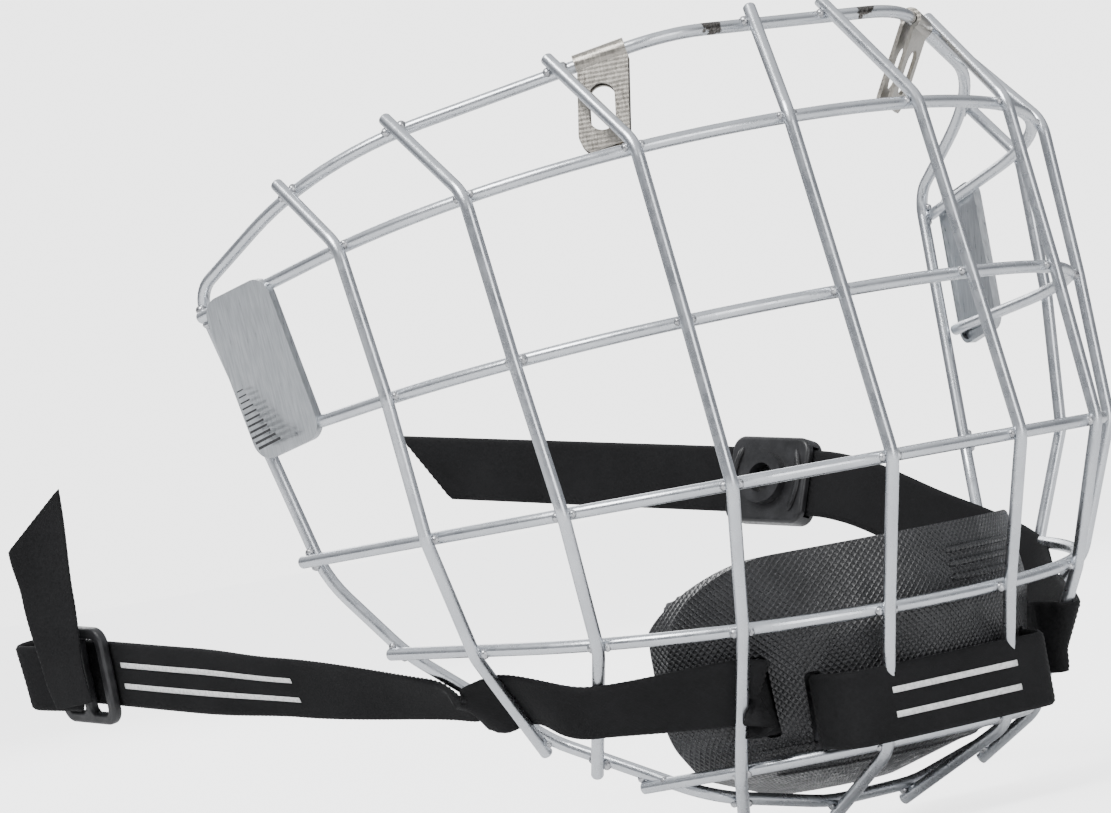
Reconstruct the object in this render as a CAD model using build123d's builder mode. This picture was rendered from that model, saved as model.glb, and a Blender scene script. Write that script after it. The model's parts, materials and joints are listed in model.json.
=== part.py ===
"""Youth ice-hockey wire face cage with its chin cup, chin straps and forehead clips.

Millimetres, as worn: +Z is up, the face looks along -Y and the wearer's left is +X.
The origin is at the middle of the forehead, at the height of the top wire between the two
clips that hold the cage on the helmet.
"""

import math
import os

from build123d import *

os.makedirs("parts", exist_ok=True)

# ---------------------------------------------------------------- driving dimensions

WIRE_D = 2.8                # plated steel wire
WIRE_R = WIRE_D / 2
WELD_SINK = 0.35            # how far two crossing wires are pressed together by the weld
WIRE_END_ROUND = 0.5        # rounded edge of a sheared wire end
OVERRUN = 3.2               # how far a welded wire runs on past the perimeter wire
PLATED_OVERRUN = 0.6        # the same, for the two bows whose ends a side plate covers

# Perimeter wire, right to left symmetric: corners of one half before bending, x outward.
RIM_CORNERS = [
    (0, -6.5, 2),           # middle of the forehead
    (32.5, -6.5, 2),        # forehead corner
    (94, 43, -11),          # temple sweep
    (104, 83.5, -32.5),     # ear corner
    (92.5, 70, -99),        # jaw bend
    (83, 58.5, -118),       # lower jaw bend
    (59.5, 43, -142.5),     # chin side
    (41.5, 14, -159.5),     # chin corner
    (12, 12.5, -166),       # under the chin
    (0, 12.5, -166),
]
RIM_RADII = [27, 68, 7, 31, 31, 16, 16, 40]

# Bow wires: height at y = 0, rise per mm of y, front y, front radius and its turn,
# side radius and the turn where it ends, length of the straight side run.
BOWS = {
    "brow_wire": (-24, -0.17, -23, 120, 23, 85, 77, 38),
    "eye_wire": (-61, -0.08, -30, 109, 24, 84.6, 78, 36.5),
    "cheek_wire": (-94.5, 0, -36.5, 96, 26, 84.3, 78, 39),
    "mouth_wire": (-123.5, 0.1, -25, 90, 22, 71, 72, 34),
    "chin_wire": (-154.5, -0.03, -17.5, 61, 12, 41, 68, 17),
}

# Upright wires: half width where each meets the top of the perimeter wire, distance from
# the middle along each bow wire, and half width at the bottom of the perimeter wire.
UPRIGHTS = {
    "centre_upright": (10.5, (17.5, 17.5, 17.5, 16.5, 16.5), 10.2),
    "inner_upright": (51.5, (52, 52, 52, 48, 47.5), 34.5),
    "middle_upright": (79.5, (88.5, 88, 87, 78), 54),
    "outer_upright": (95, (119.5, 119, 121, 108.5), 61),
}
UPRIGHT_BEND_R = 9

# Side plates: thin stamped sheet welded over the ends of the brow and eye wires.
PLATE_WIDTH = 20.5
PLATE_HEIGHT = 37
PLATE_T = 0.9
PLATE_CORNER_R = 4.5
PLATE_HEM = 1.9             # width of the folded hem round the edge
PLATE_SINK = 0.15

# Forehead clips: strip steel folded round the top wire, both flaps slotted for a screw.
CLIP_WIDTH = 11.4
CLIP_T = 0.9
CLIP_DROP = 19.5            # from the wire's centre to the end of the flaps
CLIP_GAP = 1.7              # between the two flaps
CLIP_CLEARANCE = 0.12       # between the wire and the inside of the fold
CLIP_SLOT_W = 5.6
CLIP_SLOT_L = 10.5
CLIP_SLOT_DROP = 10.8       # wire centre to slot centre
CLIP_X = 44                 # half the distance between the two clips
CLIP_LEAN = {"right": 12, "left": -32}  # degrees that the flaps stand out from hanging straight down
CLIP_SKEW = 0.28            # how far the flaps slant outward for each mm that they drop

# Chin cup: curved shell round a vertical axis behind it, with a foam liner inside.
CUP_AXIS_Y = 30
CUP_HALF_ANGLE = 75
CUP_WIDTH = 98
CUP_T = 2.6
LINER_T = 4.2
LINER_INSET = 1.5           # how far the liner stops short of the shell's edge
CUP_TOP = -110.5
CUP_SECTION = [(-21.3, CUP_TOP), (-23, -127), (-19.5, -147), (-11, -156), (13, -163.3)]  # y, z
CUP_SECTION_RADII = (20, 14, 10)
CUP_CORNER_R = 17

# Webbing.
WEB_W = 16
WEB_T = 1.4
WEB_GAP = 0.2               # between the webbing and a wire that it passes
CUP_SLOTS = {               # degrees round the cup, height, radius of the cup's outside there
    "front": (35, -145, 49.8),
    "side": (47, -140, 50.7),
}
SLOT_W = 3.6
SLOT_CLEAR = 0.8
RIGHT_HINGE = (74.1, 57.6, -129.6)  # where the right cup strap ends, x outward
RIGHT_LIE = (0.7, 0.25, 0.68)       # which way the width of the webbing lies there
RIGHT_REAR_LIE = (0.12, 0, 0.99)    # and where the twist has gone out of it
RIGHT_TAIL = [(75.6, 62.8, -129.0), (81, 112, -122), (89, 203, -109.5)]
TWIST_END = 0.38                    # share of the rear run that still twists
RIGHT_LOOP = [(-2, 0), (0, 0), (6, 9), (-15, 6)]  # along the strap and outward, from its end
RIGHT_LOOP_RADII = (3, 3)
LEFT_HINGE = (66, 55, -112)         # where the left cup strap ends
LEFT_LIE = (0.3, 0, 0.95)
LEFT_TAIL = [(65.2, 58, -110.8), (58, 80, -98.5), (28, 220.5, -74)]
LEFT_TAIL_BEND_R = 20
CUT_RISE = 12                       # how far the slanted cut of a free end runs along the strap

# Strap adjusters.
SLIDE_L = 22
SLIDE_H = 24
SLIDE_T = 2.6
SLIDE_BAR = 2.8
SLIDE_Y = 190               # how far back the middle of the slide sits
FREE_END_RUN = (-8, 7, 37)  # the tail end that stands up out of the slide
FREE_END_ACROSS = (-0.55, 0.82, 0)
FREE_END_SLANT = 20
SNAP_L = 24
SNAP_H = 21
SNAP_T = 6
SNAP_BOSS = 2.4             # how far the socket boss stands off the housing
SNAP_STUD_R = 3.6           # wall radius of the press-stud socket
SNAP_SOCKET_L = 3.8
SNAP_DOME_R = 7.2
SNAP_DOME_T = 3.2
SNAP_DOME_RISE = 3.5        # dome centre above the strap's centre line
SNAP_SHARE = 0.125          # how far along the straight of the left tail the snap sits


# ---------------------------------------------------------------- wire geometry

def side_points(points, sign):
    """The same points on the right (sign -1) or left (sign +1) of the cage."""
    return [(sign * x, y, z) for x, y, z in points]


def bow_plane(bow):
    """The tilted plane that a bow wire is bent in."""
    height, rise = BOWS[bow][:2]
    tilt = math.atan(rise)
    return Plane(origin=(0, 0, height), x_dir=(1, 0, 0), z_dir=(0, -math.sin(tilt), math.cos(tilt)))


def half_bow(bow, extra=0.0):
    """Left half of a bow wire's centre line, from the middle of the face backwards."""
    front_y, front_r, front_turn, side_r, end_turn, run = BOWS[bow][2:]
    with BuildLine(bow_plane(bow)) as line:
        front = JernArc((0, front_y), (1, 0), front_r, front_turn)
        side = JernArc(front @ 1, front % 1, side_r, end_turn - front_turn)
        Line(side @ 1, side @ 1 + (side % 1) * (run + extra))
    return line.wires()[0]


def half_rim():
    """Left half of the perimeter wire's centre line, from the forehead to the chin."""
    with BuildLine() as line:
        FilletPolyline(*RIM_CORNERS, radius=RIM_RADII)
    return line.wires()[0]


HALF_RIM = half_rim()
HALF_BOWS = {bow: half_bow(bow) for bow in BOWS}
PLATED_BOWS = ("brow_wire", "eye_wire")
EAR = 0.4                   # share of the half perimeter that ends below the ear corner


def along(path, distance):
    """Point and direction on a centre line at a distance from its start."""
    share = distance / path.length
    return path @ share, path % share


def where_x(path, x, start, end):
    """Share of the path, between start and end, at which it reaches the half width x."""
    for _ in range(40):
        middle = (start + end) / 2
        if ((path @ start).X - x) * ((path @ middle).X - x) <= 0:
            end = middle
        else:
            start = middle
    return start


def outside(point, along_first, along_second):
    """Centre of a wire welded on the outside of another that crosses it at point."""
    normal = along_first.cross(along_second).normalized()
    if normal.dot(point - Vector(0, 45, -80)) < 0:
        normal = normal * -1
    return point + normal * (WIRE_D - WELD_SINK)


def upright_points(name):
    """Bend points of a left upright's centre line, from the forehead to the chin."""
    top_x, stations, bottom_x = UPRIGHTS[name]
    top = where_x(HALF_RIM, top_x, 0, EAR * 0.9)
    bottom = where_x(HALF_RIM, bottom_x, EAR * 1.2, 1)
    crossings = [(HALF_RIM @ top, HALF_RIM % top)]
    crossings += [along(HALF_BOWS[bow], s) for bow, s in zip(BOWS, stations)]
    crossings += [(HALF_RIM @ bottom, HALF_RIM % bottom)]
    points = []
    for index, (point, direction) in enumerate(crossings):
        before = crossings[max(index - 1, 0)][0]
        after = crossings[min(index + 1, len(crossings) - 1)][0]
        points.append(outside(point, direction, after - before))
    first = (points[0] - points[1]).normalized()
    last = (points[-1] - points[-2]).normalized()
    points[0] = points[0] + first * OVERRUN
    points[-1] = points[-1] + last * OVERRUN
    return points


def round_ends(part, ends):
    """Round the sheared edge of a wire at the given end points."""
    for end in ends:
        rim = part.edges().filter_by(GeomType.CIRCLE).sort_by(lambda edge: (edge.center() - end).length)[0]
        fillet(rim, WIRE_END_ROUND)


def save(part, name):
    part.label = name
    export_step(part, f"parts/{name}.step")


# ---------------------------------------------------------------- perimeter and bows

with BuildPart() as perimeter_wire:
    with BuildLine() as rim_line:
        add(HALF_RIM.edges())
        mirror(about=Plane.YZ)
    rim_path = rim_line.wires()[0]
    with BuildSketch(Plane(origin=rim_path @ 0, z_dir=rim_path % 0)):
        Circle(WIRE_R)
    sweep(path=rim_path)
save(perimeter_wire.part, "perimeter_wire")

for bow in BOWS:
    with BuildPart() as bow_wire:
        with BuildLine() as bow_line:
            add(half_bow(bow, PLATED_OVERRUN if bow in PLATED_BOWS else OVERRUN).edges())
            mirror(about=Plane.YZ)
        bow_path = bow_line.wires()[0]
        with BuildSketch(Plane(origin=bow_path @ 0, z_dir=bow_path % 0)):
            Circle(WIRE_R)
        sweep(path=bow_path)
        round_ends(bow_wire, [bow_path @ 0, bow_path @ 1])
    save(bow_wire.part, bow)

# ---------------------------------------------------------------- uprights

SIDES = {"right": -1, "left": 1}

for side, sign in SIDES.items():
    for name in UPRIGHTS:
        bends = [(sign * p.X, p.Y, p.Z) for p in upright_points(name)]
        with BuildPart() as upright:
            with BuildLine() as upright_line:
                FilletPolyline(*bends, radius=UPRIGHT_BEND_R)
            upright_path = upright_line.wires()[0]
            with BuildSketch(Plane(origin=upright_path @ 0, z_dir=upright_path % 0)):
                Circle(WIRE_R)
            sweep(path=upright_path)
            round_ends(upright, [upright_path @ 0, upright_path @ 1])
        save(upright.part, f"{side}_{name}")

# ---------------------------------------------------------------- side plates

def plate_plane(sign):
    """Middle plane of a side plate, lying on the outside of the brow and eye wires."""
    brow, eye = HALF_BOWS["brow_wire"], HALF_BOWS["eye_wire"]
    rear = along(brow, brow.length - 3)[0]
    front = along(brow, brow.length - 24)[0]
    low = along(eye, eye.length - 12)[0]
    backward = (rear - front).normalized()
    down = low - (rear + front) * 0.5
    down = (down - backward * down.dot(backward)).normalized()
    outward = down.cross(backward).normalized()
    if outward.X < 0:
        outward = outward * -1
    middle = (rear + front) * 0.5 + down * (PLATE_HEIGHT / 2 - 2.2)
    middle = middle + outward * (WIRE_R + PLATE_T / 2 - PLATE_SINK)
    return Plane(
        origin=(sign * middle.X, middle.Y, middle.Z),
        x_dir=(sign * backward.X, backward.Y, backward.Z),
        z_dir=(sign * outward.X, outward.Y, outward.Z),
    )


for side, sign in SIDES.items():
    middle_plane = plate_plane(sign)
    with BuildPart() as side_plate:
        with BuildSketch(middle_plane):
            RectangleRounded(PLATE_WIDTH, PLATE_HEIGHT, PLATE_CORNER_R)
        extrude(amount=PLATE_T / 2, both=True)
        with BuildSketch(middle_plane.offset(-PLATE_T / 2)):
            RectangleRounded(PLATE_WIDTH, PLATE_HEIGHT, PLATE_CORNER_R)
            offset(amount=-PLATE_T, mode=Mode.SUBTRACT)
        extrude(amount=-PLATE_HEM + PLATE_T)
    save(side_plate.part, f"{side}_side_plate")

# ---------------------------------------------------------------- forehead clips

def clip_plane(sign, lean):
    """Plane across the top wire at a clip: x outward from the face, y up the flaps."""
    share = where_x(HALF_RIM, CLIP_X, 0, EAR * 0.9)
    spot, direction = HALF_RIM @ share, HALF_RIM % share
    spot = Vector(sign * spot.X, spot.Y, spot.Z)
    to_right = Vector(-direction.X, -sign * direction.Y, -sign * direction.Z)
    across = Vector(0, 0, 1).cross(to_right).normalized()
    up = to_right.cross(across)
    turn = math.radians(lean)
    return Plane(origin=spot, x_dir=across * math.cos(turn) + up * math.sin(turn), z_dir=to_right)


for side, sign in SIDES.items():
    across_wire = clip_plane(sign, CLIP_LEAN[side])
    inner_r = WIRE_R + CLIP_CLEARANCE
    with BuildPart() as clip:
        with BuildSketch(across_wire):
            Circle(inner_r + CLIP_T)
            with Locations((0, -(CLIP_DROP + inner_r) / 2)):
                Rectangle(CLIP_GAP + 2 * CLIP_T, CLIP_DROP - inner_r)
            with Locations((0, -inner_r)):
                Rectangle(CLIP_GAP + 2 * CLIP_T, 2 * inner_r)
            Circle(inner_r, mode=Mode.SUBTRACT)
            with Locations((0, -CLIP_DROP / 2)):
                Rectangle(CLIP_GAP, CLIP_DROP, mode=Mode.SUBTRACT)
        extrude(amount=CLIP_WIDTH, both=True)
        facing = Plane(origin=across_wire.origin, x_dir=across_wire.z_dir * -1, z_dir=across_wire.x_dir)
        skew = sign * CLIP_SKEW
        drop = CLIP_DROP + 1
        with BuildSketch(facing):
            with BuildLine():
                Polyline(
                    (-CLIP_WIDTH / 2, 5),
                    (CLIP_WIDTH / 2, 5),
                    (CLIP_WIDTH / 2, -2),
                    (CLIP_WIDTH / 2 + skew * drop, -drop),
                    (-CLIP_WIDTH / 2 + skew * drop, -drop),
                    (-CLIP_WIDTH / 2, -2),
                    close=True,
                )
            make_face()
            fillet(vertices().sort_by(Axis.Y)[:2], CLIP_WIDTH / 2 - 1.4)
            with Locations((skew * CLIP_SLOT_DROP, -CLIP_SLOT_DROP)):
                slant = math.degrees(math.atan(skew))
                SlotOverall(CLIP_SLOT_L, CLIP_SLOT_W, rotation=90 + slant, mode=Mode.SUBTRACT)
        extrude(amount=CLIP_WIDTH * 2, both=True, mode=Mode.INTERSECT)
    save(clip.part, f"{side}_top_clip")

# ---------------------------------------------------------------- chin cup

def cup_wall(thickness, inset):
    """Both halves of the cup to a thickness inward, stopping an inset short of the edge."""
    with BuildPart() as wall:
        with BuildSketch(Plane.YZ):
            with BuildLine():
                outer = FilletPolyline(*CUP_SECTION, radius=CUP_SECTION_RADII)
                offset(outer, amount=thickness, side=Side.LEFT)
            make_face()
        revolve(axis=Axis((0, CUP_AXIS_Y, 0), (0, 0, 1)), revolution_arc=CUP_HALF_ANGLE - 1.5 * inset)
        mirror(about=Plane.YZ)
        with BuildSketch(Plane.XZ.offset(-CUP_AXIS_Y - 20)):
            with Locations((0, CUP_TOP - inset - 50)):
                RectangleRounded(CUP_WIDTH - 2 * inset, 100, CUP_CORNER_R - inset)
        extrude(amount=100, mode=Mode.INTERSECT)
    return wall.part


def around_cup(angle, z, radius):
    """Point at an angle round the cup from straight ahead, towards the left."""
    turn = math.radians(angle)
    return Vector(radius * math.sin(turn), CUP_AXIS_Y - radius * math.cos(turn), z)


slot_planes = []
for sign in SIDES.values():
    for angle, z, radius in CUP_SLOTS.values():
        turn = math.radians(sign * angle)
        outward = (math.sin(turn), -math.cos(turn), 0)
        tangent = (math.cos(turn), math.sin(turn), 0)
        slot_planes.append(Plane(origin=around_cup(sign * angle, z, radius), x_dir=tangent, z_dir=outward))

with BuildPart() as strap_slots:
    for slot_plane in slot_planes:
        with BuildSketch(slot_plane):
            RectangleRounded(SLOT_W, WEB_W + 2 * SLOT_CLEAR, 1.2)
        extrude(amount=10, both=True)

with BuildPart() as chin_cup_shell:
    add(cup_wall(CUP_T, 0))
    add(strap_slots, mode=Mode.SUBTRACT)
save(chin_cup_shell.part, "chin_cup_shell")

with BuildPart() as chin_cup_liner:
    add(cup_wall(CUP_T + LINER_T, LINER_INSET))
    add(cup_wall(CUP_T, 0), mode=Mode.SUBTRACT)
    add(strap_slots, mode=Mode.SUBTRACT)
save(chin_cup_liner.part, "chin_cup_liner")

# ---------------------------------------------------------------- webbing

def strap_section(point, run, up, thickness=WEB_T):
    """Cross-section plane of webbing: x through its thickness, y up its width."""
    flat = Vector(*up).cross(run).normalized()
    return Plane(origin=point, x_dir=flat, z_dir=run)


def woven_strap(stops, end_slant=0.0):
    """Webbing that passes the stops, each a point and the way its width lies there."""
    points = [Vector(*point) for point, up in stops]
    with BuildPart() as band:
        for index, (point, up) in enumerate(stops):
            before = points[max(index - 1, 0)]
            after = points[min(index + 1, len(points) - 1)]
            section = strap_section(points[index], (after - before).normalized(), up)
            slant = math.radians(end_slant) if index == len(points) - 1 else 0
            facing = section.z_dir * math.cos(slant) + section.y_dir * math.sin(slant)
            with BuildSketch(Plane(origin=section.origin, x_dir=section.x_dir, z_dir=facing)):
                Rectangle(WEB_T, WEB_W / math.cos(slant))
        loft()
    return band.part


def even_strap(points, radii, up=(0, 0, 1)):
    """Webbing swept along straight runs joined by bends."""
    with BuildPart() as band:
        with BuildLine() as centre:
            FilletPolyline(*points, radius=radii)
        path = centre.wires()[0]
        with BuildSketch(strap_section(path @ 0, path % 0, up)):
            Rectangle(WEB_T, WEB_W)
        sweep(path=path)
    return band.part


def wire_stop(bends, z, side_gap):
    """Strap stop beside a left wire at height z: a gap above zero is outside the wire."""
    for above, below in zip(bends, bends[1:]):
        if above.Z >= z >= below.Z:
            share = (above.Z - z) / (above.Z - below.Z)
            spot = above + (below - above) * share
            along_wire = (above - below).normalized()
            break
    outward = Vector(spot.X, spot.Y - CUP_AXIS_Y, 0)
    outward = (outward - along_wire * outward.dot(along_wire)).normalized()
    reach = WIRE_R + WEB_T / 2 + abs(side_gap)
    return spot + outward * math.copysign(reach, side_gap), along_wire


def mirrored(stops, sign):
    """Stops on the right (sign -1) or left (sign +1) of the cage."""
    return [((sign * p.X, p.Y, p.Z), (sign * u.X, u.Y, u.Z)) for p, u in stops]


RIM_BENDS = [Vector(*corner) for corner in RIM_CORNERS[3:]]
UPRIGHT_BENDS = {name: upright_points(name) for name in UPRIGHTS}
slot_angle, slot_z, slot_radius = CUP_SLOTS["side"]
SLOT_STOP = (around_cup(slot_angle - 0.5, slot_z, slot_radius - 1), Vector(0, 0, 1))
SLOT_MOUTH = (around_cup(slot_angle + 3.5, slot_z, slot_radius + 1.6), Vector(0, 0, 1))

right_stops = [
    SLOT_STOP,
    SLOT_MOUTH,
    wire_stop(UPRIGHT_BENDS["inner_upright"], -139, -WEB_GAP),
    wire_stop(UPRIGHT_BENDS["middle_upright"], -136, WEB_GAP),
    wire_stop(UPRIGHT_BENDS["outer_upright"], -133, -WEB_GAP),
    wire_stop(RIM_BENDS, -131, 4 * WEB_GAP),
    (Vector(*RIGHT_HINGE), Vector(*RIGHT_LIE)),
]
left_stops = [
    SLOT_STOP,
    SLOT_MOUTH,
    wire_stop(UPRIGHT_BENDS["inner_upright"], -139, WEB_GAP),
    wire_stop(UPRIGHT_BENDS["middle_upright"], -134, -WEB_GAP),
    wire_stop(UPRIGHT_BENDS["outer_upright"], -126, -WIRE_D - 2 * WEB_GAP),
    (Vector(*LEFT_HINGE), Vector(*LEFT_LIE)),
]
save(woven_strap(mirrored(right_stops, -1)), "right_cup_strap")
save(woven_strap(mirrored(left_stops, 1)), "left_cup_strap")


def tail_plane(foot, tip, share, lie):
    """Plane on a strap's centre: x along it, y up its width and z towards the right."""
    run = (Vector(*tip) - Vector(*foot)).normalized()
    side_dir = run.cross(Vector(*lie)).normalized()
    if side_dir.X > 0:
        side_dir = side_dir * -1
    return Plane(origin=Vector(*foot) + (Vector(*tip) - Vector(*foot)) * share, x_dir=run, z_dir=side_dir)


right_route = side_points(RIGHT_TAIL, -1)
right_rear_lie = (-RIGHT_REAR_LIE[0], RIGHT_REAR_LIE[1], RIGHT_REAR_LIE[2])
rear_foot, rear_tip = Vector(*right_route[1]), Vector(*right_route[2])
twist_stops = [
    (Vector(*RIGHT_TAIL[0]), Vector(*RIGHT_LIE)),
    (Vector(*RIGHT_TAIL[1]), Vector(*RIGHT_LIE) * 0.45 + Vector(*RIGHT_REAR_LIE) * 0.55),
]
right_tail_stops = mirrored(twist_stops, -1)
for share in (TWIST_END, (1 + TWIST_END) / 2, 1):
    right_tail_stops.append((tuple(rear_foot * (1 - share) + rear_tip * share), right_rear_lie))
save(woven_strap(right_tail_stops), "right_strap_tail")

turn_plane = tail_plane(right_route[1], right_route[2], 1, right_rear_lie)
loop_route = [tuple(turn_plane.from_local_coords((ahead, 0, out))) for ahead, out in RIGHT_LOOP]
save(even_strap(loop_route, RIGHT_LOOP_RADII, right_rear_lie), "right_strap_loop")

with BuildPart() as left_strap_tail:
    add(even_strap(LEFT_TAIL, LEFT_TAIL_BEND_R, LEFT_LIE))
    tail_end = Vector(*LEFT_TAIL[-1])
    tail_run = (tail_end - Vector(*LEFT_TAIL[-2])).normalized()
    tail_flat = Vector(0, 0, 1).cross(tail_run).normalized()
    with BuildSketch(Plane(origin=tail_end, x_dir=tail_run, z_dir=tail_flat * -1)):
        with BuildLine():
            Polyline((9, -WEB_W), (9, WEB_W), (CUT_RISE / 2, WEB_W), (-CUT_RISE * 1.5, -WEB_W), close=True)
        make_face()
    extrude(amount=WEB_W, both=True, mode=Mode.SUBTRACT)
save(left_strap_tail.part, "left_strap_tail")

slot_angle, slot_z, slot_radius = CUP_SLOTS["front"]
front_reach = wire_stop(UPRIGHT_BENDS["centre_upright"], slot_z, WEB_GAP)[0]
front_half = [
    tuple(around_cup(slot_angle, slot_z, slot_radius - 1.5)),
    tuple(around_cup(slot_angle, slot_z, slot_radius + 1.9)),
    (front_reach.X + 4, front_reach.Y, slot_z),
]
front_route = side_points(front_half, -1) + list(reversed(front_half))
save(even_strap(front_route, (2, 5, 5, 2)), "front_strap")

# ---------------------------------------------------------------- right strap adjuster

slide_share = (SLIDE_Y - RIGHT_TAIL[1][1]) / (RIGHT_TAIL[2][1] - RIGHT_TAIL[1][1])
slide_gap = WEB_T / 2 + 0.6 + SLIDE_T / 2
slide_plane = tail_plane(right_route[1], right_route[2], slide_share, right_rear_lie).offset(slide_gap)
with BuildPart() as right_slide_buckle:
    with BuildSketch(slide_plane):
        RectangleRounded(SLIDE_L, SLIDE_H, 4)
        window = (SLIDE_L - 3 * SLIDE_BAR) / 2
        with Locations((-(window + SLIDE_BAR) / 2, 0), ((window + SLIDE_BAR) / 2, 0)):
            RectangleRounded(window, SLIDE_H - 2 * SLIDE_BAR, 1.5, mode=Mode.SUBTRACT)
    extrude(amount=SLIDE_T / 2, both=True)
    outer_faces = right_slide_buckle.faces().sort_by(Axis(slide_plane.origin, slide_plane.z_dir))
    fillet(outer_faces[0].edges() + outer_faces[-1].edges(), 0.8)
save(right_slide_buckle.part, "right_slide_buckle")

free_foot = slide_plane.from_local_coords((0, -2, SLIDE_T / 2 + 2.2 * WEB_T + 1.4))
free_tip = Vector(*free_foot) + Vector(*FREE_END_RUN)
free_middle = Vector(*free_foot) * 0.55 + free_tip * 0.45 + slide_plane.z_dir
free_stops = [
    (tuple(free_foot), tuple(slide_plane.x_dir)),
    (tuple(free_middle), tuple(slide_plane.x_dir * 0.5 + Vector(*FREE_END_ACROSS) * 0.5)),
    (tuple(free_tip), FREE_END_ACROSS),
]
save(woven_strap(free_stops, FREE_END_SLANT), "right_free_end")

# ---------------------------------------------------------------- left snap fastener

snap_plane = tail_plane(LEFT_TAIL[1], LEFT_TAIL[2], SNAP_SHARE, LEFT_LIE)
with BuildPart() as left_snap_housing:
    with BuildSketch(snap_plane):
        RectangleRounded(SNAP_L, SNAP_H, 3.5)
    extrude(amount=SNAP_T / 2, both=True)
    flat_faces = left_snap_housing.faces().sort_by(Axis(snap_plane.origin, snap_plane.z_dir))
    fillet(flat_faces[0].edges() + flat_faces[-1].edges(), 1)
    with BuildSketch(snap_plane.offset(SNAP_T / 2)):
        Circle(SNAP_STUD_R + 2.6)
    extrude(amount=SNAP_BOSS)
    with BuildSketch(Plane(origin=snap_plane.origin, x_dir=snap_plane.z_dir, z_dir=snap_plane.x_dir)):
        Rectangle(WEB_T + 0.9, WEB_W + 1.2)
    extrude(amount=SNAP_L, both=True, mode=Mode.SUBTRACT)
    with BuildSketch(snap_plane.offset(SNAP_T / 2 + SNAP_BOSS)):
        Circle(SNAP_STUD_R + 1.2)
    extrude(amount=-SNAP_SOCKET_L, mode=Mode.SUBTRACT)
save(left_snap_housing.part, "left_snap_housing")

with BuildPart() as left_snap_socket:
    with BuildSketch(snap_plane.offset(SNAP_T / 2 + SNAP_BOSS)):
        Circle(SNAP_STUD_R + 1.2)
        Circle(SNAP_STUD_R, mode=Mode.SUBTRACT)
    extrude(amount=-SNAP_SOCKET_L)
save(left_snap_socket.part, "left_snap_socket")

dome_plane = snap_plane.offset(-SNAP_T / 2)
with BuildPart() as left_snap_cap:
    with BuildSketch(dome_plane):
        with Locations((0, -SNAP_DOME_RISE)):
            Circle(SNAP_DOME_R)
    extrude(amount=-SNAP_DOME_T)
    crown = left_snap_cap.faces().sort_by(Axis(dome_plane.origin, dome_plane.z_dir))[0]
    fillet(crown.edges(), SNAP_DOME_T * 0.7)
save(left_snap_cap.part, "left_snap_cap")
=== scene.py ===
"""Looks for the hockey helmet cage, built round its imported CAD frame."""

import json
import math
import random

import bpy
from mathutils import Matrix, Vector, geometry, noise
from mathutils.bvhtree import BVHTree


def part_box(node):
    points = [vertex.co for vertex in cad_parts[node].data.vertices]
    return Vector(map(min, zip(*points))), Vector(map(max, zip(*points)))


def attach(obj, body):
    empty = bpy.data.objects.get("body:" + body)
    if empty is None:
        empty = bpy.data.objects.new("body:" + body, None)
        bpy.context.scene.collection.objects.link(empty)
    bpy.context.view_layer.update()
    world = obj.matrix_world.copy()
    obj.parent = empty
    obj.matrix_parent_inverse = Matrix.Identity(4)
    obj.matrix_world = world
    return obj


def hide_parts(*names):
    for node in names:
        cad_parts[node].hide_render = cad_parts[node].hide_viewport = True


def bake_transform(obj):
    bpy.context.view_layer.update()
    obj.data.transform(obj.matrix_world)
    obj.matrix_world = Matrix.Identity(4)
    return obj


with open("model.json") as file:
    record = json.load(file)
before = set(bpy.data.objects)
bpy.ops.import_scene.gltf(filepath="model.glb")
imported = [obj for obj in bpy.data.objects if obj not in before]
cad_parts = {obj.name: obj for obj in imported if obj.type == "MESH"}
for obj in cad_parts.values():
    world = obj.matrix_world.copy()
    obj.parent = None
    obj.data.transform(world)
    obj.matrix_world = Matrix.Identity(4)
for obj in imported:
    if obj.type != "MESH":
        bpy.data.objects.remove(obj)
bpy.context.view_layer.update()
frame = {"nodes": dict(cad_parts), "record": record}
nodes = frame["nodes"]

MM = 0.001
UP = Vector((0, 0, 1))


def mm(*values):
    return Vector(values) * MM


def new_object(name, mesh):
    obj = bpy.data.objects.new(name, mesh)
    bpy.context.scene.collection.objects.link(obj)
    return obj


def applied(obj):
    """The object's mesh with its modifiers or bevel worked in."""
    bpy.context.view_layer.update()
    return bpy.data.meshes.new_from_object(obj.evaluated_get(bpy.context.evaluated_depsgraph_get()))


def smooth(mesh, material):
    """Shade a mesh smooth, in one material."""
    for polygon in mesh.polygons:
        polygon.use_smooth = True
    mesh.materials.clear()
    mesh.materials.append(material)
    return mesh


# ---------------------------------------------------------------- camera, floor and light

CAMERA_PLACE = (-0.5933, -0.7423, -0.0952)
VIEW_AZIMUTH = -35.0        # degrees from the front, towards the wearer's right
VIEW_RISE = 1.46            # degrees that the view looks upward
VIEW_ROLL = 10.31           # degrees that the object leans to the left in the picture
LENS = 141.7                # mm, on a 36 mm wide sensor
FLOOR_GAP = 0.002           # below the lowest piece
FLOOR_SIZE = 40
FLOOR_GLOW = 2.6            # what the eye sees of the floor, as bright as the backdrop
BACKDROP_GLOW = 3.4


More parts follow.
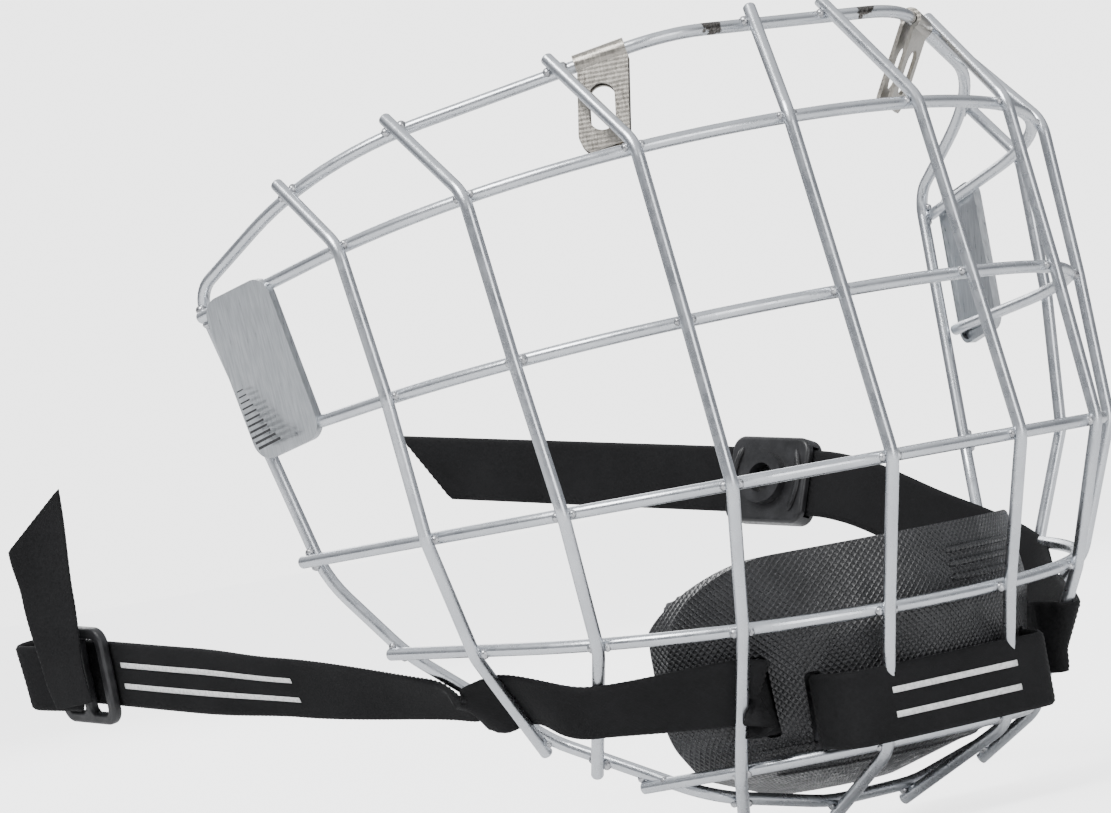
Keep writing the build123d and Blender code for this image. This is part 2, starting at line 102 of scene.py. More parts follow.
def make_camera():
    data = bpy.data.cameras.new("camera")
    data.sensor_width = 36
    data.sensor_fit = "HORIZONTAL"
    data.lens = LENS
    data.clip_start = 0.01
    data.clip_end = 50
    camera = new_object("camera", data)
    turn, rise, roll = (math.radians(a) for a in (VIEW_AZIMUTH, VIEW_RISE, VIEW_ROLL))
    ahead = Vector((-math.sin(turn) * math.cos(rise), math.cos(turn) * math.cos(rise), math.sin(rise)))
    level_right = ahead.cross(Vector((0, 0, 1))).normalized()
    down = ahead.cross(level_right)
    right = level_right * math.cos(roll) + down * math.sin(roll)
    up = right.cross(ahead)
    camera.matrix_world = Matrix((
        (right.x, up.x, -ahead.x, CAMERA_PLACE[0]),
        (right.y, up.y, -ahead.y, CAMERA_PLACE[1]),
        (right.z, up.z, -ahead.z, CAMERA_PLACE[2]),
        (0, 0, 0, 1),
    ))
    bpy.context.scene.camera = camera


def make_floor():
    """A wide pale floor that looks as bright as the backdrop above it."""
    z = min(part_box(name)[0].z for name in nodes) - FLOOR_GAP
    mesh = bpy.data.meshes.new("floor")
    s = FLOOR_SIZE
    mesh.from_pydata([(-s, -s, z), (s, -s, z), (s, s, z), (-s, s, z)], [], [(0, 1, 2, 3)])
    floor = new_object("floor", mesh)
    tree = Nodes("floor", (0.88, 0.88, 0.88), roughness=0.9)
    seen = tree.add("ShaderNodeLightPath").outputs["Is Camera Ray"]
    tree.bsdf.inputs["Emission Color"].default_value = (1, 1, 1, 1)
    tree.link(tree.math("MULTIPLY", seen, FLOOR_GLOW), tree.bsdf.inputs["Emission Strength"])
    mesh.materials.append(tree.material)


def area_light(name, place, aim, size, power):
    data = bpy.data.lights.new(name, "AREA")
    data.shape = "RECTANGLE"
    data.size, data.size_y = size
    data.energy = power
    light = new_object(name, data)
    light.location = place
    light.rotation_euler = (Vector(aim) - Vector(place)).to_track_quat("-Z", "Y").to_euler()


def make_light():
    """Soft studio light: a backdrop that is white to the eye and greyer low down in reflections."""
    world = bpy.data.worlds.new("studio")
    bpy.context.scene.world = world
    world.use_nodes = True
    tree = world.node_tree
    glow = tree.nodes["Background"]
    place = tree.nodes.new("ShaderNodeTexCoord")
    split = tree.nodes.new("ShaderNodeSeparateXYZ")
    tree.links.new(place.outputs["Generated"], split.inputs[0])
    grade = tree.nodes.new("ShaderNodeValToRGB")
    grade.color_ramp.elements[0].position = 0.3
    grade.color_ramp.elements[0].color = (0.3, 0.31, 0.33, 1)
    grade.color_ramp.elements[1].position = 0.75
    grade.color_ramp.elements[1].color = (0.95, 0.97, 1.0, 1)
    tree.links.new(split.outputs["Z"], grade.inputs[0])
    tree.links.new(grade.outputs[0], glow.inputs["Color"])
    white = tree.nodes.new("ShaderNodeBackground")
    white.inputs["Color"].default_value = (1, 1, 1, 1)
    white.inputs["Strength"].default_value = BACKDROP_GLOW
    mix = tree.nodes.new("ShaderNodeMixShader")
    path = tree.nodes.new("ShaderNodeLightPath")
    tree.links.new(path.outputs["Is Camera Ray"], mix.inputs[0])
    tree.links.new(glow.outputs[0], mix.inputs[1])
    tree.links.new(white.outputs[0], mix.inputs[2])
    tree.links.new(mix.outputs[0], tree.nodes["World Output"].inputs[0])
    centre = (0, 0.05, -0.08)
    area_light("key", (-0.9, -0.3, 1.1), centre, (0.7, 0.7), 20)
    area_light("fill", (-0.1, -1.5, 0.2), centre, (0.7, 0.9), 7)
    area_light("rim", (0.5, 1.4, 0.7), centre, (1.2, 0.6), 9)


# ---------------------------------------------------------------- materials

class Nodes:
    """A principled material and short ways to add texture nodes to it."""

    def __init__(self, name, color, metallic=0.0, roughness=0.5):
        self.material = bpy.data.materials.new(name)
        self.material.use_nodes = True
        self.tree = self.material.node_tree
        self.bsdf = self.tree.nodes["Principled BSDF"]
        self.bsdf.inputs["Base Color"].default_value = (*color, 1)
        self.bsdf.inputs["Metallic"].default_value = metallic
        self.bsdf.inputs["Roughness"].default_value = roughness
        self.place = self.add("ShaderNodeTexCoord").outputs["Object"]
        self.height = None

    def add(self, kind):
        return self.tree.nodes.new(kind)

    def link(self, source, target):
        self.tree.links.new(source, target)

    def fill(self, socket, value):
        if isinstance(value, (int, float)):
            socket.default_value = value
        else:
            self.link(value, socket)

    def math(self, operation, first, second=0.0):
        node = self.add("ShaderNodeMath")
        node.operation = operation
        self.fill(node.inputs[0], first)
        self.fill(node.inputs[1], second)
        return node.outputs[0]

    def mapped(self, scale, turn=(0, 0, 0)):
        node = self.add("ShaderNodeMapping")
        self.link(self.place, node.inputs["Vector"])
        node.inputs["Scale"].default_value = scale
        node.inputs["Rotation"].default_value = turn
        return node.outputs[0]

    def noise(self, scale, detail=4, where=None):
        node = self.add("ShaderNodeTexNoise")
        self.link(where or self.place, node.inputs["Vector"])
        node.inputs["Scale"].default_value = scale
        node.inputs["Detail"].default_value = detail
        return node.outputs[0]

    def between(self, factor, low, high, first, second):
        """Colours or values from first to second while the factor goes from low to high."""
        node = self.add("ShaderNodeValToRGB")
        node.color_ramp.elements[0].position = low
        node.color_ramp.elements[1].position = high
        for element, value in zip(node.color_ramp.elements, (first, second)):
            rgb = value if isinstance(value, tuple) else (value,) * 3
            element.color = (*rgb, 1)
        self.link(factor, node.inputs[0])
        return node.outputs[0]

    def blend(self, factor, first, second):
        node = self.add("ShaderNodeMix")
        node.data_type = "RGBA"
        self.link(factor, node.inputs[0])
        self.link(first, node.inputs[6])
        self.link(second, node.inputs[7])
        return node.outputs[2]

    def color(self, source):
        self.link(source, self.bsdf.inputs["Base Color"])

    def rough(self, source):
        self.link(source, self.bsdf.inputs["Roughness"])

    def bump(self, height, distance, strength=1.0):
        node = self.add("ShaderNodeBump")
        node.inputs["Distance"].default_value = distance
        node.inputs["Strength"].default_value = strength
        self.link(height, node.inputs["Height"])
        if self.height:
            self.link(self.height, node.inputs["Normal"])
        self.height = node.outputs[0]
        self.link(self.height, self.bsdf.inputs["Normal"])


SCUFFS = ((-0.021, -0.0065, 0.0032), (0.0215, -0.0065, 0.0032), (0.056, 0.012, -0.045))
SCUFF_REACH = 0.0065


def wire_metal():
    """Satin plated wire: soft cloudy variation, faint drawing lines and a few dark rubbed spots."""
    tree = Nodes("plated_wire", (0.62, 0.64, 0.67), metallic=1.0, roughness=0.3)
    clouds = tree.noise(90, 5)
    silver = tree.between(clouds, 0.3, 0.7, (0.60, 0.62, 0.65), (0.70, 0.72, 0.75))
    speck = tree.noise(2600, 3)
    for spot in SCUFFS:
        away = tree.add("ShaderNodeVectorMath")
        away.operation = "DISTANCE"
        tree.link(tree.place, away.inputs[0])
        away.inputs[1].default_value = spot
        near = tree.math("DIVIDE", away.outputs["Value"], SCUFF_REACH)
        worn = tree.math("ADD", near, tree.math("MULTIPLY", tree.noise(420, 6), 1.1))
        mask = tree.between(worn, 0.95, 1.15, 1.0, 0.0)
        dirt = tree.between(speck, 0.35, 0.65, (0.05, 0.045, 0.04), (0.2, 0.19, 0.18))
        silver = tree.blend(mask, silver, dirt)
    tree.color(silver)
    tree.rough(tree.between(tree.noise(300, 6), 0.25, 0.75, 0.2, 0.36))
    tree.bump(tree.noise(1500, 4), 0.00004, 0.5)
    tree.bump(clouds, 0.0003, 0.15)
    return tree.material


def weld_metal():
    tree = Nodes("weld_bead", (0.6, 0.6, 0.61), metallic=1.0, roughness=0.32)
    tree.color(tree.between(tree.noise(700, 4), 0.35, 0.7, (0.33, 0.33, 0.34), (0.72, 0.73, 0.75)))
    tree.rough(tree.between(tree.noise(1200, 3), 0.3, 0.7, 0.2, 0.42))
    tree.bump(tree.noise(1800, 3), 0.0001, 0.5)
    return tree.material


def brushed(name, along, light, dark, roughness, scratch):
    """Sheet metal brushed along a direction."""
    tree = Nodes(name, light, metallic=1.0, roughness=roughness)
    turn = Vector(along).to_track_quat("Z", "Y").inverted().to_euler()
    strokes = tree.noise(1.0, 5, tree.mapped((2400, 2400, 60), turn))
    patches = tree.noise(60, 3)
    shade = tree.math("ADD", tree.math("MULTIPLY", strokes, 0.75), tree.math("MULTIPLY", patches, 0.25))
    tree.color(tree.between(shade, 0.3, 0.7, dark, light))
    tree.rough(tree.between(strokes, 0.3, 0.7, roughness - 0.07, roughness + 0.08))
    tree.bump(strokes, scratch, 0.5)
    return tree


def clip_metal(along):
    """Warm grey spring steel with shallow press marks across the flaps."""
    tree = brushed("clip_steel", along, (0.50, 0.47, 0.42), (0.27, 0.25, 0.22), 0.34, 0.00006)
    wave = tree.add("ShaderNodeTexWave")
    wave.bands_direction = "Z"
    wave.inputs["Scale"].default_value = 330
    wave.inputs["Distortion"].default_value = 0.8
    wave.inputs["Detail"].default_value = 2
    tree.link(tree.place, wave.inputs["Vector"])
    tree.bump(wave.outputs[1], 0.00005, 0.35)
    return tree.material


CUP_AXIS_Y = 0.030
CUP_RADIUS = 0.053
HATCH = 0.00155463          # spacing of the diamond pattern


def cup_plastic():
    """Glossy black moulding with a fine raised diamond crosshatch that follows its curve."""
    tree = Nodes("cup_moulding", (0.014, 0.014, 0.015), roughness=0.3)
    split = tree.add("ShaderNodeSeparateXYZ")
    tree.link(tree.place, split.inputs[0])
    x, y, z = split.outputs
    turn = tree.math("ARCTAN2", x, tree.math("SUBTRACT", CUP_AXIS_Y, y))
    around = tree.math("MULTIPLY", turn, CUP_RADIUS)
    ridges = None
    for sign in (1, -1):
        slant = tree.math("ADD", around, tree.math("MULTIPLY", z, sign))
        wave = tree.math("SINE", tree.math("MULTIPLY", slant, math.pi / HATCH))
        line = tree.math("POWER", tree.math("ABSOLUTE", wave), 6)
        ridges = line if ridges is None else tree.math("MAXIMUM", ridges, line)
    tree.bump(ridges, 0.00028, 0.9)
    tree.bump(tree.noise(1600, 3), 0.00008, 0.35)
    tree.color(tree.between(tree.noise(140, 4), 0.3, 0.75, (0.009, 0.009, 0.010), (0.026, 0.026, 0.028)))
    tree.rough(tree.between(tree.noise(420, 4), 0.3, 0.7, 0.22, 0.42))
    tree.bsdf.inputs["Specular IOR Level"].default_value = 0.6
    return tree.material


def black_plastic(name, roughness):
    tree = Nodes(name, (0.016, 0.016, 0.017), roughness=roughness)
    tree.color(tree.between(tree.noise(220, 4), 0.3, 0.7, (0.010, 0.010, 0.011), (0.028, 0.028, 0.03)))
    tree.rough(tree.between(tree.noise(900, 3), 0.3, 0.7, roughness - 0.08, roughness + 0.1))
    tree.bump(tree.noise(2200, 2), 0.00006, 0.6)
    return tree.material


def webbing_cloth():
    """Black nylon: matt yarns with a faint sheen and dusty wear on the raised ones."""
    tree = Nodes("webbing", (0.012, 0.012, 0.013), roughness=0.8)
    yarn = tree.noise(1400, 3)
    wear = tree.noise(60, 4)
    shade = tree.math("ADD", tree.math("MULTIPLY", yarn, 0.7), tree.math("MULTIPLY", wear, 0.3))
    tree.color(tree.between(shade, 0.35, 0.75, (0.002, 0.002, 0.0024), (0.016, 0.016, 0.017)))
    tree.rough(tree.between(yarn, 0.3, 0.7, 0.66, 0.9))
    tree.bump(tree.noise(3200, 3), 0.00014, 0.8)
    tree.bsdf.inputs["Sheen Weight"].default_value = 0.02
    tree.bsdf.inputs["Sheen Roughness"].default_value = 0.4
    tree.bsdf.inputs["Specular IOR Level"].default_value = 0.25
    return tree.material


def printed_line(name, color):
    tree = Nodes(name, color, roughness=0.6)
    pale = tuple(min(1, c * 1.15 + 0.01) for c in color)
    tree.color(tree.between(tree.noise(1500, 3), 0.3, 0.6, tuple(c * 0.8 for c in color), pale))
    tree.rough(tree.between(tree.noise(900, 2), 0.3, 0.7, 0.5, 0.75))
    tree.bump(tree.noise(2600, 2), 0.00008, 0.7)
    return tree.material


def liner_cloth():
    """Brushed knit cloth over soft foam."""
    tree = Nodes("liner_cloth", (0.03, 0.03, 0.033), roughness=0.9)
    tree.color(tree.between(tree.noise(900, 5), 0.3, 0.7, (0.016, 0.016, 0.018), (0.055, 0.055, 0.06)))
    tree.rough(tree.between(tree.noise(500, 3), 0.3, 0.7, 0.8, 0.97))
    tree.bump(tree.noise(2400, 4), 0.0002, 0.8)
    tree.bsdf.inputs["Sheen Weight"].default_value = 0.3
    return tree.material


# ---------------------------------------------------------------- helpers on the frame

def tree_of(name):
    mesh = nodes[name].data
    return BVHTree.FromPolygons([v.co for v in mesh.vertices], [tuple(p.vertices) for p in mesh.polygons])


def wire_at(name, z, side=0):
    """Centre and direction of a CAD wire where it passes the height z, in metres, on one side of the face."""
    centres = []
    for level in (z - 0.001, z, z + 0.001):
        points = []
        for edge in nodes[name].data.edges:
            a, b = (nodes[name].data.vertices[k].co for k in edge.vertices)
            if (a.z - level) * (b.z - level) < 0 and a.x * side >= 0:
                points.append(a.lerp(b, (level - a.z) / (b.z - a.z)))
        centres.append(sum(points, Vector()) / len(points))
    return centres[1], (centres[2] - centres[0]).normalized()


def around_cup(angle, z, radius):
    """Point at an angle in degrees round the cup from straight ahead, towards the left, in mm."""
    turn = math.radians(angle)
    return mm(radius * math.sin(turn), -radius * math.cos(turn), z) + Vector((0, CUP_AXIS_Y, 0))


def plate_axes(name):
    """Centre, long, backward and outward directions of a side plate."""
    mesh = nodes[name].data
    points = [v.co for v in mesh.vertices]
    centre = (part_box(name)[0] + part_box(name)[1]) / 2
    outward = sum((p.normal * p.area for p in mesh.polygons if p.normal.x * centre.x > 0), Vector())
    outward.normalize()
    upright = UP - outward * outward.z

    def reach(way):
        return max((p - centre).dot(way) for p in points) - min((p - centre).dot(way) for p in points)

    turns = [Matrix.Rotation(math.radians(step), 3, outward) for step in range(-30, 31)]
    trials = [(turn @ upright).normalized() for turn in turns]
    long_way = min(trials, key=lambda way: reach(way.cross(outward)) * 3 - reach(way))
    backward = long_way.cross(outward)
    if backward.y < 0:
        backward = backward * -1
    return centre, long_way, backward, outward


# ---------------------------------------------------------------- webbing

WEB_W = 16 * MM
WEB_T = 1.4 * MM
WIRE_R = 1.4 * MM
GAP = 0.2 * MM
COLUMNS = 24                # yarns across the webbing
ROW = 0.68 * MM             # from one weft yarn to the next
RELIEF = 0.2 * MM           # how far the raised yarns stand out
SELVEDGE = 0.12             # share of the half width that thins out towards the edge
ROUTE_STEPS = 40            # of the curve between two stops


def smooth_route(stops, spacing):
    """Evenly spaced points and width directions on a smooth curve through the stops."""
    points = [Vector(p) for p, up in stops]
    ways = [Vector(up).normalized() for p, up in stops]
    points = [points[0] * 2 - points[1]] + points + [points[-1] * 2 - points[-2]]
    ways = [ways[0]] + ways + [ways[-1]]
    fine = []
    for k in range(1, len(points) - 2):
        a, b, c, d = points[k - 1:k + 3]
        for step in range(ROUTE_STEPS):
            t = step / ROUTE_STEPS
            spot = (b * 2 + (c - a) * t + (a * 2 - b * 5 + c * 4 - d) * t * t
                    + (b * 3 - a - c * 3 + d) * t * t * t) * 0.5
            fine.append((spot, ways[k].lerp(ways[k + 1], t * t * (3 - 2 * t))))
    fine.append((points[-2], ways[-1]))
    rows = [fine[0]]
    spare = 0.0
    for (p, u), (q, w) in zip(fine, fine[1:]):
        length = (q - p).length
        while length > 1e-9 and spare + length >= spacing:
            share = (spacing - spare) / length
            p, u = p.lerp(q, share), u.lerp(w, share)
            rows.append((p, u))
            length = (q - p).length
            spare = 0.0
        spare += length
    return rows


def ribbon(name, stops, material, width=WEB_W, thickness=WEB_T, shift=(0, 0), span=(0, 1), cut=0):
    """A band along the stops, woven at the webbing's full width and plain if narrower.

    shift moves it across and off the face of the band beneath, span is the part of the route
    that it covers, and cut is how far its last edge slants at each side.
    """
    rows = smooth_route(stops, ROW)
    woven = width == WEB_W
    columns = COLUMNS if woven else 3
    relief = RELIEF if woven else 0
    total = len(rows) - 1
    vertices, faces = [], []
    first, last = round(total * span[0]), round(total * span[1])
    for i in range(first, last + 1):
        point, way = rows[i]
        run = (rows[min(i + 1, total)][0] - rows[max(i - 1, 0)][0]).normalized()
        up = (way - run * way.dot(run)).normalized()
        flat = up.cross(run)
        point = point + up * shift[0] + flat * shift[1]
        left_over = (last - i) * ROW
        ring = []
        for face in (1, -1):
            for j in range(columns + 1):
                column = j if face > 0 else columns - j
                across = column / columns - 0.5
                edge = max(0.0, (abs(across) * 2 - 1 + SELVEDGE) / SELVEDGE)
                half = thickness / 2 * (1 - 0.75 * edge * edge)
                bulge = relief * (1 if (i + column) % 2 else -0.5) * (1 - 0.6 * edge)
                slant = cut * across * 2 * max(0.0, 1 - left_over / WEB_W)
                ring.append(point + up * (across * width) + flat * (face * (half + bulge)) + run * slant)
        vertices.extend(ring)
    size = 2 * (columns + 1)
    count = last - first + 1
    for i in range(count - 1):
        for j in range(size):
            k = (j + 1) % size
            faces.append((i * size + j, i * size + k, (i + 1) * size + k, (i + 1) * size + j))
    for start, flip in ((0, False), ((count - 1) * size, True)):
        for j in range(columns):
            quad = (start + j, start + size - 1 - j, start + size - 2 - j, start + j + 1)
            faces.append(tuple(reversed(quad)) if flip else quad)
    mesh = bpy.data.meshes.new(name)
    mesh.from_pydata(vertices, [], faces)
    mesh.validate()
    return new_object(name, smooth(mesh, material))


def beside(name, z, gap, side=0):
    """Stop on the outside (gap above zero) or inside of a wire at a height in mm."""
    spot, along = wire_at(name, z * MM, side)
    outward = Vector((spot.x, spot.y - CUP_AXIS_Y, 0))
    outward = (outward - along * outward.dot(along)).normalized()
    reach = WIRE_R + WEB_T / 2 + abs(gap)
    return spot + outward * math.copysign(reach, gap), along


SIDE_SLOT = (47, -140, 50.7)   # degrees round the cup, height and radius in mm
FRONT_SLOT = (35, -145, 49.8)
RIGHT_BEND = mm(-81, 112, -122)         # where the right strap runs straight back from
RIGHT_END = mm(-89, 203, -109.5)        # and where it turns round for the slide
RIGHT_LIE = Vector((-0.12, 0, 0.99))    # the way its width lies there
LOOP_RUN = (RIGHT_END - RIGHT_BEND).normalized()
LOOP_OUT = RIGHT_LIE.cross(LOOP_RUN).normalized()
LEFT_BEND = mm(58, 80, -98.5)           # where the left strap runs straight back from
LEFT_TIP = mm(28, 220.5, -74)
LEFT_LIE = Vector((0.3, 0, 0.95))


def slot_stops(sign):
    angle, z, radius = SIDE_SLOT
    return [
        (around_cup(sign * (angle - 2.5), z, radius - 5), UP),
        (around_cup(sign * (angle + 0.5), z, radius + 0.4), UP),
        (around_cup(sign * (angle + 4), z, radius + 2.2), UP),
    ]


def in_loop(ahead, out):
    """Point in mm past the right strap's end and outward from it."""
    return RIGHT_END + (LOOP_RUN * ahead + LOOP_OUT * out) * MM


def right_route():
    """From the cup's slot through the uprights, back past the jaw and round the slide."""
    stops = slot_stops(-1)
    stops.append(beside("right_inner_upright", -139, -GAP))
    stops.append(beside("right_middle_upright", -136, GAP))
    stops.append(beside("right_outer_upright", -133, -GAP))
    stops += [
        (beside("perimeter_wire", -131, 4 * GAP, -1)[0], Vector((-0.75, 0.2, 0.62))),
        (mm(-74.8, 59.8, -129.4), (-0.7, 0.25, 0.68)),
        (RIGHT_BEND, (-0.38, 0.11, 0.86)),
        (mm(-84.5, 150, -116.9), RIGHT_LIE),
        (RIGHT_END, RIGHT_LIE),
        (in_loop(4.5, 2), RIGHT_LIE),
        (in_loop(5.5, 6), RIGHT_LIE),
        (in_loop(1.5, 8.3), RIGHT_LIE),
        (in_loop(-15, 6), RIGHT_LIE),
    ]
    return stops


def left_route():
    """From the cup's slot round the uprights and back through the snap to the slanted end."""
    stops = slot_stops(1)
    stops.append(beside("left_inner_upright", -139, GAP))
    stops.append(beside("left_middle_upright", -134, -GAP))
    stops.append(beside("left_outer_upright", -126, -3.2 * MM))
    stops += [
        (mm(65.6, 56.5, -111.4), LEFT_LIE),
        (mm(59.6, 76, -100.6), LEFT_LIE),
        (mm(54.25, 97.56, -95.44), (0.3, -0.05, 0.95)),
        (mm(41, 159.5, -84.6), (0.18, 0, 0.98)),
        (mm(30, 211, -75.7), (0.1, 0, 0.99)),
    ]
    return stops


def front_route():
    angle, z, radius = FRONT_SLOT
    reach = beside("left_centre_upright", z, GAP)[0]
    half = [
        (around_cup(angle - 3, z, radius - 5), UP),
        (around_cup(angle, z, radius + 0.2), UP),
        (around_cup(angle - 1.5, z, radius + 3.4), UP),
        (reach + mm(9, 1.4, 0), UP),
        (reach, UP),
        (reach - mm(6, 0.35, 0), UP),
    ]
    return [(Vector((-p.x, p.y, p.z)), u) for p, u in half] + list(reversed(half))


def make_straps(cloth, white):
    right = ribbon("right_strap", right_route(), cloth)
    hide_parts("right_cup_strap", "right_strap_tail", "right_strap_loop")
    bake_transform(right)
    left = ribbon("left_strap", left_route(), cloth, cut=9.5 * MM)
    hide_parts("left_cup_strap", "left_strap_tail")
    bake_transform(left)
    front = ribbon("front_strap_webbing", front_route(), cloth)
    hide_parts("front_strap")
    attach(front, "cage")
    free = ribbon("right_free_end_webbing", [
        (mm(-95.2, 188.9, -118.5), LOOP_RUN),
        (mm(-96.5, 189.1, -110.3), LOOP_RUN * 0.9 + Vector((-0.05, 0.1, 0))),
        (mm(-97.6, 188.3, -92), (-0.35, 0.92, 0.05)),
        (mm(-98.2, 187.5, -73), (-0.6, 0.8, 0.1)),
    ], cloth, cut=-6.5 * MM)
    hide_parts("right_free_end")
    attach(free, "right_strap")
    lift = WEB_T / 2 + RELIEF + 0.05 * MM
    line_size = {"width": 1.3 * MM, "thickness": 0.16 * MM}
    for k, across in enumerate((-2.6, 2.6)):
        side_line = ribbon(f"right_pinstripe_{k}", right_route(), white, **line_size,
                           shift=(across * MM, lift), span=(0.53, 0.78))
        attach(side_line, "right_strap")
        front_line = ribbon(f"front_pinstripe_{k}", front_route(), white, **line_size,
                            shift=(across * MM, -lift), span=(0.3, 0.7))
        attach(front_line, "cage")


# ---------------------------------------------------------------- welds

BEAD_R = 1.05 * MM
BEAD_OUT = 1.75 * MM        # from the middle of the crossing to the middle of a bead
SAME_WELD = 8 * MM          # contacts closer than this belong to one crossing


def long_edge(mesh, polygon):
    corners = [mesh.vertices[k].co for k in polygon.vertices]
    pairs = [(corners[k], corners[(k + 1) % len(corners)]) for k in range(len(corners))]
    return max(pairs, key=lambda pair: (pair[1] - pair[0]).length)


def crossings():
    """Middle of each welded crossing and the direction of the wire beneath."""
    trees = {}
    found = []
    for a, b in frame["record"]["behaviour"]["press_fits"]:
        if not all(name.endswith(("_wire", "_upright")) for name in (a, b)):
            continue
        if a.endswith("_upright") or b == "perimeter_wire" and not a.endswith("_upright"):
            a, b = b, a
        for name in (a, b):
            if name not in trees:
                trees[name] = tree_of(name)
        spots = []
        for i, j in trees[a].overlap(trees[b]):
            first = long_edge(nodes[a].data, nodes[a].data.polygons[i])
            second = long_edge(nodes[b].data, nodes[b].data.polygons[j])
            closest = geometry.intersect_line_line(*first, *second)
            if not closest or (closest[0] - closest[1]).length > 2 * WIRE_R:
                continue
            spots.append(((closest[0] + closest[1]) / 2, (first[1] - first[0]).normalized()))
        groups = []
        for spot, way in spots:
            for group in groups:
                if (group[0][0] - spot).length < SAME_WELD:
                    group.append((spot, way))
                    break
            else:
                groups.append([(spot, way)])
        for group in groups:
            middle = sum((spot for spot, way in group), Vector()) / len(group)
            found.append((middle, group[0][1]))
    return found


def make_welds(material):
    """Small lumpy beads on both sides of each crossing, as the spot welds leave them."""
    random.seed(7)
    vertices, faces = [], []
    rings, steps = 7, 10
    for middle, way in crossings():
        side = way.orthogonal().normalized()
        other = way.cross(side)
        for end in (-1, 1):
            centre = middle + way * (end * BEAD_OUT * random.uniform(0.9, 1.1))
            size = BEAD_R * random.uniform(0.85, 1.2)
            base = len(vertices)
            for r in range(rings + 1):
                polar = math.pi * r / rings
                for s in range(steps):
                    spin = 2 * math.pi * s / steps
                    lump = 1 + 0.12 * noise.noise(Vector((r * 1.7, s * 1.3, base * 0.11)))
                    ring = math.sin(polar) * size * lump
                    vertices.append(centre + way * (math.cos(polar) * size * 0.85 * lump)
                                    + side * (math.cos(spin) * ring) + other * (math.sin(spin) * ring))
            for r in range(rings):
                for s in range(steps):
                    t = (s + 1) % steps
                    faces.append((base + r * steps + s, base + r * steps + t,
                                  base + (r + 1) * steps + t, base + (r + 1) * steps + s))
    mesh = bpy.data.meshes.new("weld_beads")
    mesh.from_pydata(vertices, [], faces)
    mesh.validate()
    beads = new_object("weld_beads", smooth(mesh, material))
    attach(beads, "cage")


# ---------------------------------------------------------------- small parts

def tube(name, points, radius, material):
    """A ridge along the points that thins towards its ends."""
    curve = bpy.data.curves.new(name, "CURVE")
    curve.dimensions = "3D"
    spline = curve.splines.new("POLY")
    spline.points.add(len(points) - 1)
    for target, point in zip(spline.points, points):
        target.co = (*point, 1)
    spline.points[0].radius = spline.points[-1].radius = 0.35
    curve.bevel_depth = radius
    curve.bevel_resolution = 3
    curve.use_fill_caps = True
    guide = new_object(name, curve)
    mesh = applied(guide)
    bpy.data.objects.remove(guide)
    return new_object(name, smooth(mesh, material))


def on_cup(shell, angle, z):
    """Where a ray from outside towards the cup's axis meets its outside."""
    start = around_cup(angle, z, 90)
    aim = (around_cup(angle, z, 0) - start).normalized()
    hit = shell.ray_cast(start, aim)[0]
    return hit if hit is not None and (hit - start).length < 0.07 else None


def make_cup_ribs(material):
    """Plain raised ribs on the cup: short bars high up and fine concentric lines low down."""
    shell = tree_of("chin_cup_shell")
    count = 0
    for heights, angles, radius in (
        ((-116.5, -119.5, -122.5), range(4, 41, 2), 0.75 * MM),
        ((-151.5, -153.5, -155.5, -157.5), range(-52, 53, 3), 0.35 * MM),
    ):
        for z in heights:
            points = [on_cup(shell, angle, z) for angle in angles]
            points = [p for p in points if p]
            if len(points) > 3:
                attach(tube(f"cup_rib_{count}", points, radius, material), "cage")
                count += 1


def make_slot_backing(material):
    """Foam seen behind the webbing in each slot of the cup."""
    for side in (-1, 1):
        for angle, z, radius in (SIDE_SLOT, FRONT_SLOT):
            name = f"slot_backing_{'left' if side > 0 else 'right'}_{angle}"
            points = [around_cup(side * angle, z + step, radius - 6.6) for step in (-9, -4.5, 0, 4.5, 9)]
            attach(tube(name, points, 3.4 * MM, material), "cage")


def make_liner(material):
    """Soft liner grown from its CAD solid: rounded all over, slightly uneven."""
    source = nodes["chin_cup_liner"]
    liner = new_object("chin_cup_pad", source.data.copy())
    remesh = liner.modifiers.new("remesh", "REMESH")
    remesh.mode = "VOXEL"
    remesh.voxel_size = 1.0 * MM
    soften = liner.modifiers.new("soften", "SMOOTH")
    soften.factor = 0.5
    soften.iterations = 5
    mesh = applied(liner)
    liner.modifiers.clear()
    liner.data = mesh
    for vertex in mesh.vertices:
        vertex.co += vertex.normal * (0.12 * MM * noise.noise(vertex.co * 160))
    smooth(mesh, material)
    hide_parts("chin_cup_liner")
    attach(liner, "cage")


INK_T = 0.03 * MM
STRIPES = 11
STRIPE_FOOT = -16.2         # mm from the plate's middle to the lowest stripe


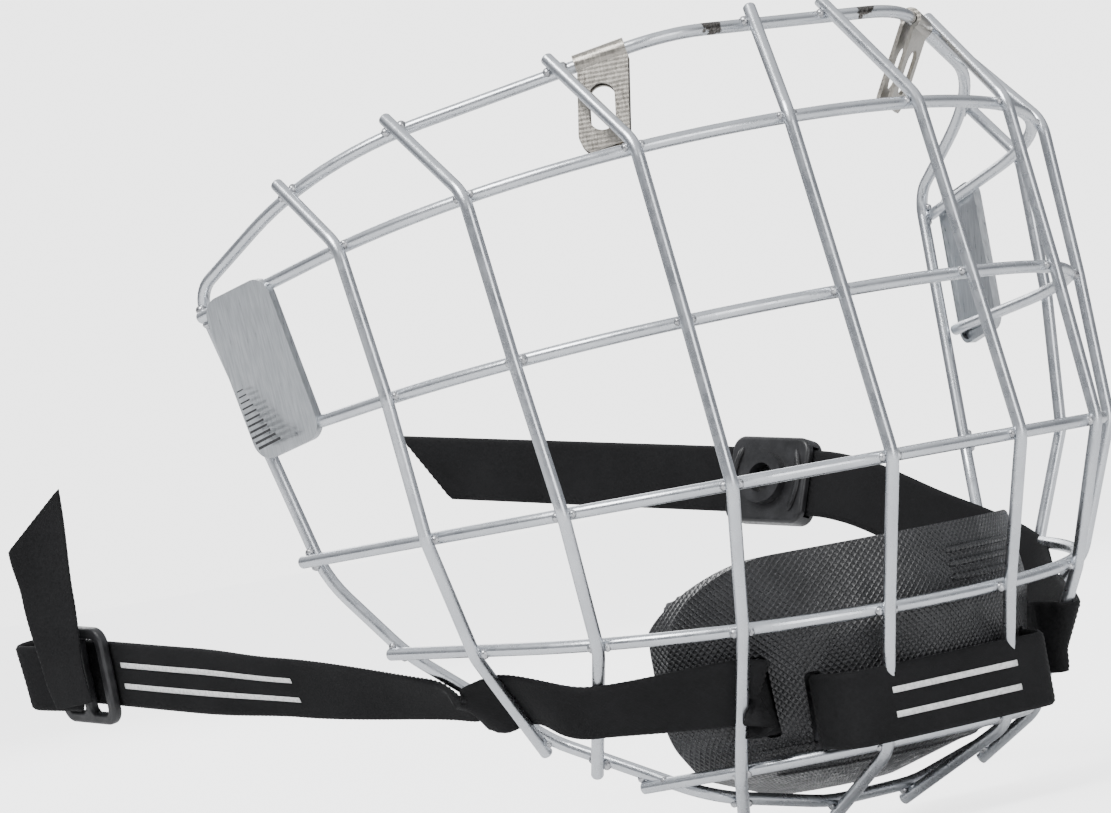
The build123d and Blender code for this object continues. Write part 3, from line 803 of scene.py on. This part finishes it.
def make_plate_print(name, axes, ink):
    """Ruled stripes printed at the lower rear corner of a side plate."""
    centre, upward, backward, outward = axes
    lift = max((v.co - centre).dot(outward) for v in nodes[name].data.vertices) + INK_T
    vertices, faces = [], []
    for k in range(STRIPES):
        low = (STRIPE_FOOT + 1.35 * k) * MM
        length = (8.5 - 0.62 * k) * MM
        thick = (0.62 - 0.035 * k) * MM
        rear = (7.6 if k > 1 else 6.4 + k / 2) * MM
        for along, high in ((rear, 0), (rear - length, 0), (rear - length, thick), (rear, thick)):
            vertices.append(centre + outward * lift + backward * along + upward * (low + high))
        faces.append(tuple(range(len(vertices) - 4, len(vertices))))
    mesh = bpy.data.meshes.new(f"{name}_print")
    mesh.from_pydata(vertices, [], faces)
    for polygon in mesh.polygons:
        if polygon.normal.dot(outward) < 0:
            polygon.flip()
    mesh.materials.append(ink)
    obj = new_object(f"{name}_print", mesh)
    body = obj.modifiers.new("thickness", "SOLIDIFY")
    body.thickness = INK_T
    obj.data = applied(obj)
    obj.modifiers.clear()
    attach(obj, "cage")


SNAP_SHARE = 0.125          # how far along the straight of the left strap the snap sits


def make_snap_ridges(material):
    """Two curved grip ridges on the inner face of the snap's housing."""
    run = (LEFT_TIP - LEFT_BEND).normalized()
    side = LEFT_LIE.cross(run).normalized()
    low = side.cross(run)
    centre = LEFT_BEND.lerp(LEFT_TIP, SNAP_SHARE)
    for k, sign in enumerate((-1, 1)):
        points = []
        for step in range(13):
            share = step / 12
            out = (8.3 + 1.6 * math.sin(share * math.pi)) * sign
            drop = -7.5 + 15 * share
            points.append(centre + (run * out + low * drop + side * 3.1) * MM)
        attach(tube(f"snap_ridge_{k}", points, 0.8 * MM, material), "left_snap")


# ---------------------------------------------------------------- putting it together

SHARP_EDGE = 38             # degrees between faces from which a CAD edge stays crisp

make_camera()
make_floor()
make_light()

wire = wire_metal()
plates = {name: plate_axes(name) for name in ("right_side_plate", "left_side_plate")}
cup = cup_plastic()
housing = black_plastic("snap_plastic", 0.36)
finish = {
    "_wire": wire,
    "_upright": wire,
    "_top_clip": clip_metal((0.15, -0.1, -1)),
    "_cup_shell": cup,
    "_buckle": black_plastic("slide_plastic", 0.42),
    "_housing": housing,
    "_cap": housing,
    "_socket": housing,
}
for name, axes in plates.items():
    sheet = brushed(f"{name}_steel", axes[1], (0.66, 0.68, 0.70), (0.42, 0.44, 0.46), 0.34, 0.00003)
    finish[name] = sheet.material
for name, obj in nodes.items():
    for ending, material in finish.items():
        if name.endswith(ending):
            smooth(obj.data, material)
    obj.data.set_sharp_from_angle(angle=math.radians(SHARP_EDGE))

make_straps(webbing_cloth(), printed_line("white_print", (0.75, 0.75, 0.74)))
foam = liner_cloth()
make_liner(foam)
make_slot_backing(foam)
make_welds(weld_metal())
make_cup_ribs(cup)
make_snap_ridges(housing)
ink = printed_line("black_ink", (0.02, 0.02, 0.022))
for name, axes in plates.items():
    make_plate_print(name, axes, ink)
